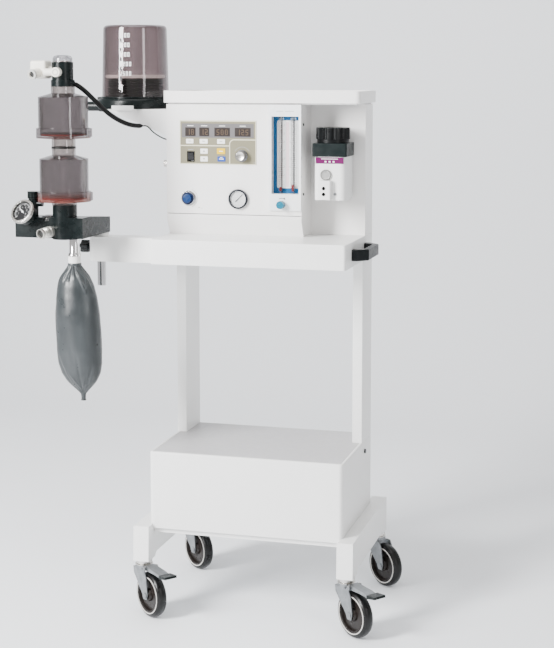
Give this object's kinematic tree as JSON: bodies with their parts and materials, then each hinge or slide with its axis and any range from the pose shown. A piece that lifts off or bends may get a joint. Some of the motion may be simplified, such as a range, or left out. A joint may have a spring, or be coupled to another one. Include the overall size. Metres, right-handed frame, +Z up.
{
  "type": "anesthesia machine",
  "caption": "Anesthesia machine on a braked caster trolley, with ventilator panel, flowmeter, vaporizer, bellows dome and a swivelling absorber arm with a breathing bag.",
  "frame": {"origin": "on the floor, under the centre of the whole machine's bounding box", "axes": "+X to the machine's right as the user faces the panel, +Y to its back, +Z up"},
  "size_m": [0.8218, 0.4783, 1.309],
  "materials": {
    "white_paint": "fine satin powder coat",
    "grey_panel": "satin grey coat",
    "panel_paint": "fine satin powder coat",
    "keypad_film": "printed matt film with keys and displays",
    "switch_black": "gloss moulded",
    "knob_chrome": "turned and fluted",
    "flush_blue": "gloss moulded",
    "gauge_bezel": "black bezel with a white dial",
    "needle_paint": "matt black",
    "flow_bezel": "moulded white with a printed blue scale",
    "flow_glass": "clear",
    "float_red": "matt",
    "knob_blue": "moulded and fluted",
    "dial_black": "fluted, fine texture",
    "vapor_slate": "fine texture",
    "vapor_white": "satin coat",
    "handle_black": "fine moulded texture",
    "moulded_black": "fine moulded texture",
    "smoky_clear": "smoky clear polysulfone",
    "clear_cap": "clear moulded",
    "disc_ivory": "moulded",
    "bellows_rubber": "matt",
    "seal_pink": "translucent silicone",
    "sensor_white": "moulded",
    "port_chrome": "polished",
    "post_chrome": "polished",
    "bag_rubber": "satin, dusted",
    "cord_black": "satin jacket",
    "bezel_steel": "ridged bezel with a dark dial",
    "needle_white": "matt white",
    "module_steel": "plain",
    "zinc_fork": "zinc plated pressing",
    "tyre_black": "smooth tread on a grey hub",
    "pedal_zinc": "zinc plated, black toe",
    "fastener_steel": "plated"
  },
  "bodies": {
    "root": {"left_leg": "white_paint", "right_leg": "white_paint", "cross_rails": "white_paint", "base_cover": "white_paint", "base_top_panel": "grey_panel", "rear_covers": "white_paint", "left_post": "white_paint", "right_post": "white_paint", "worktop": "white_paint", "side_handle": "handle_black", "cabinet_shell": "panel_paint", "front_panel": "panel_paint", "top_shelf": "panel_paint", "control_overlay": "keypad_film", "panel_gauge": "gauge_bezel", "flowmeter_frame": "flow_bezel", "flow_tubes": "flow_glass", "vaporizer_head": "vapor_slate", "vaporizer_body": "vapor_white", "bellows_bracket": "white_paint", "bellows_base": "moulded_black", "bellows_dome": "smoky_clear", "bellows_pleats": "bellows_rubber", "internal_modules": "module_steel", "arm_beam": "white_paint", "cord_coil": "cord_black", "cord_tail": "cord_black", "fasteners": "fastener_steel"},
    "absorber": {"arm_post": "post_chrome", "absorber_block": "moulded_black", "lower_canister": "smoky_clear", "upper_canister": "smoky_clear", "canister_seals": "seal_pink", "valve_head": "moulded_black", "valve_caps": "clear_cap", "sensor_block": "sensor_white", "airway_gauge": "bezel_steel", "metal_ports": "port_chrome", "breathing_bag": "bag_rubber"},
    "rocker_switch_body": {"rocker_switch": "switch_black"},
    "selector_knob_body": {"selector_knob": "knob_chrome"},
    "flush_button_body": {"flush_button": "flush_blue"},
    "gauge_needle_body": {"gauge_needle": "needle_paint"},
    "flow_floats_body": {"flow_floats": "float_red"},
    "flow_knob_body": {"flow_knob": "knob_blue"},
    "vaporizer_dial_body": {"vaporizer_dial": "dial_black"},
    "bellows_disc_body": {"bellows_disc": "disc_ivory"},
    "clamp_knob_body": {"clamp_knob": "moulded_black"},
    "apl_knob_body": {"apl_knob": "moulded_black"},
    "airway_needle_body": {"airway_needle": "needle_white"},
    "front_left_fork_body": {"front_left_fork": "zinc_fork"},
    "front_left_wheel_body": {"front_left_wheel": "tyre_black"},
    "front_right_fork_body": {"front_right_fork": "zinc_fork"},
    "front_right_wheel_body": {"front_right_wheel": "tyre_black"},
    "rear_left_fork_body": {"rear_left_fork": "zinc_fork"},
    "rear_left_wheel_body": {"rear_left_wheel": "tyre_black"},
    "rear_right_fork_body": {"rear_right_fork": "zinc_fork"},
    "rear_right_wheel_body": {"rear_right_wheel": "tyre_black"},
    "front_left_pedal_body": {"front_left_pedal": "pedal_zinc"},
    "front_right_pedal_body": {"front_right_pedal": "pedal_zinc"}
  },
  "joints": [
    {"name": "front_left_swivel", "type": "hinge", "parent": "root", "child": "front_left_fork_body", "pos_m": [-0.14785, -0.11969, 0.11], "axis": [0, 0, 1], "continuous": true},
    {"name": "front_left_roll", "type": "hinge", "parent": "front_left_fork_body", "child": "front_left_wheel_body", "pos_m": [-0.12421, -0.13816, 0.05], "axis": [0.6157, 0.788, 0], "continuous": true},
    {"name": "front_right_swivel", "type": "hinge", "parent": "root", "child": "front_right_fork_body", "pos_m": [0.31415, -0.11969, 0.11], "axis": [0, 0, 1], "continuous": true},
    {"name": "front_right_roll", "type": "hinge", "parent": "front_right_fork_body", "child": "front_right_wheel_body", "pos_m": [0.33779, -0.13816, 0.05], "axis": [0.6157, 0.788, 0], "continuous": true},
    {"name": "rear_left_swivel", "type": "hinge", "parent": "root", "child": "rear_left_fork_body", "pos_m": [-0.14785, 0.21431, 0.11], "axis": [0, 0, 1], "continuous": true},
    {"name": "rear_left_roll", "type": "hinge", "parent": "rear_left_fork_body", "child": "rear_left_wheel_body", "pos_m": [-0.12421, 0.19584, 0.05], "axis": [0.6157, 0.788, 0], "continuous": true},
    {"name": "rear_right_swivel", "type": "hinge", "parent": "root", "child": "rear_right_fork_body", "pos_m": [0.31415, 0.21431, 0.11], "axis": [0, 0, 1], "continuous": true},
    {"name": "rear_right_roll", "type": "hinge", "parent": "rear_right_fork_body", "child": "rear_right_wheel_body", "pos_m": [0.33779, 0.19584, 0.05], "axis": [0.6157, 0.788, 0], "continuous": true},
    {"name": "front_left_brake", "type": "hinge", "parent": "front_left_fork_body", "child": "front_left_pedal_body", "pos_m": [-0.12736, -0.13569, 0.11], "axis": [0.6157, 0.788, 0], "range_deg": [0, 10]},
    {"name": "front_right_brake", "type": "hinge", "parent": "front_right_fork_body", "child": "front_right_pedal_body", "pos_m": [0.33464, -0.13569, 0.11], "axis": [0.6157, 0.788, 0], "range_deg": [0, 10]},
    {"name": "absorber_swivel", "type": "hinge", "parent": "root", "child": "absorber", "pos_m": [-0.26785, -0.05269, 0.8], "axis": [0, 0, 1], "range_deg": [-60, 45], "deforming": ["cord_coil", "cord_tail"]},
    {"name": "clamp_turn", "type": "hinge", "parent": "root", "child": "clamp_knob_body", "pos_m": [-0.29085, -0.05269, 0.812], "axis": [1, 0, 0], "range_deg": [-30, 330]},
    {"name": "apl_turn", "type": "hinge", "parent": "absorber", "child": "apl_knob_body", "pos_m": [-0.37585, -0.17469, 0.93], "axis": [0, 0, 1], "range_deg": [0, 270]},
    {"name": "airway_pointer", "type": "hinge", "parent": "absorber", "child": "airway_needle_body", "pos_m": [-0.38185, -0.22469, 0.906], "axis": [-0.2203, -0.8311, 0.5107], "range_deg": [-185, 85]},
    {"name": "supply_pointer", "type": "hinge", "parent": "root", "child": "gauge_needle_body", "pos_m": [0.03215, 0.01531, 0.9205], "axis": [0, 1, 0], "range_deg": [-177, 93]},
    {"name": "power_rocker", "type": "hinge", "parent": "root", "child": "rocker_switch_body", "pos_m": [-0.07885, 0.02061, 1.014], "axis": [-1, 0, 0], "range_deg": [0, 12]},
    {"name": "selector_turn", "type": "hinge", "parent": "root", "child": "selector_knob_body", "pos_m": [0.04115, 0.01731, 1.017], "axis": [0, 1, 0], "continuous": true},
    {"name": "flush_press", "type": "slide", "parent": "root", "child": "flush_button_body", "axis": [0, 1, 0], "range_m": [0, 0.004], "stiffness_N_per_m": 600, "springref_m": -0.002},
    {"name": "flow_turn", "type": "hinge", "parent": "root", "child": "flow_knob_body", "pos_m": [0.13315, 0.01331, 0.9105], "axis": [0, -1, 0], "range_deg": [0, 720]},
    {"name": "float_rise", "type": "slide", "parent": "root", "child": "flow_floats_body", "axis": [0, 0, 1], "range_m": [0, 0.148]},
    {"name": "vapor_turn", "type": "hinge", "parent": "root", "child": "vaporizer_dial_body", "pos_m": [0.24065, 0.05331, 1.05], "axis": [0, 0, 1], "range_deg": [0, 300]},
    {"name": "bellows_rise", "type": "slide", "parent": "root", "child": "bellows_disc_body", "axis": [0, 0, 1], "range_m": [0, 0.1], "deforming": ["bellows_pleats"]}
  ]
}
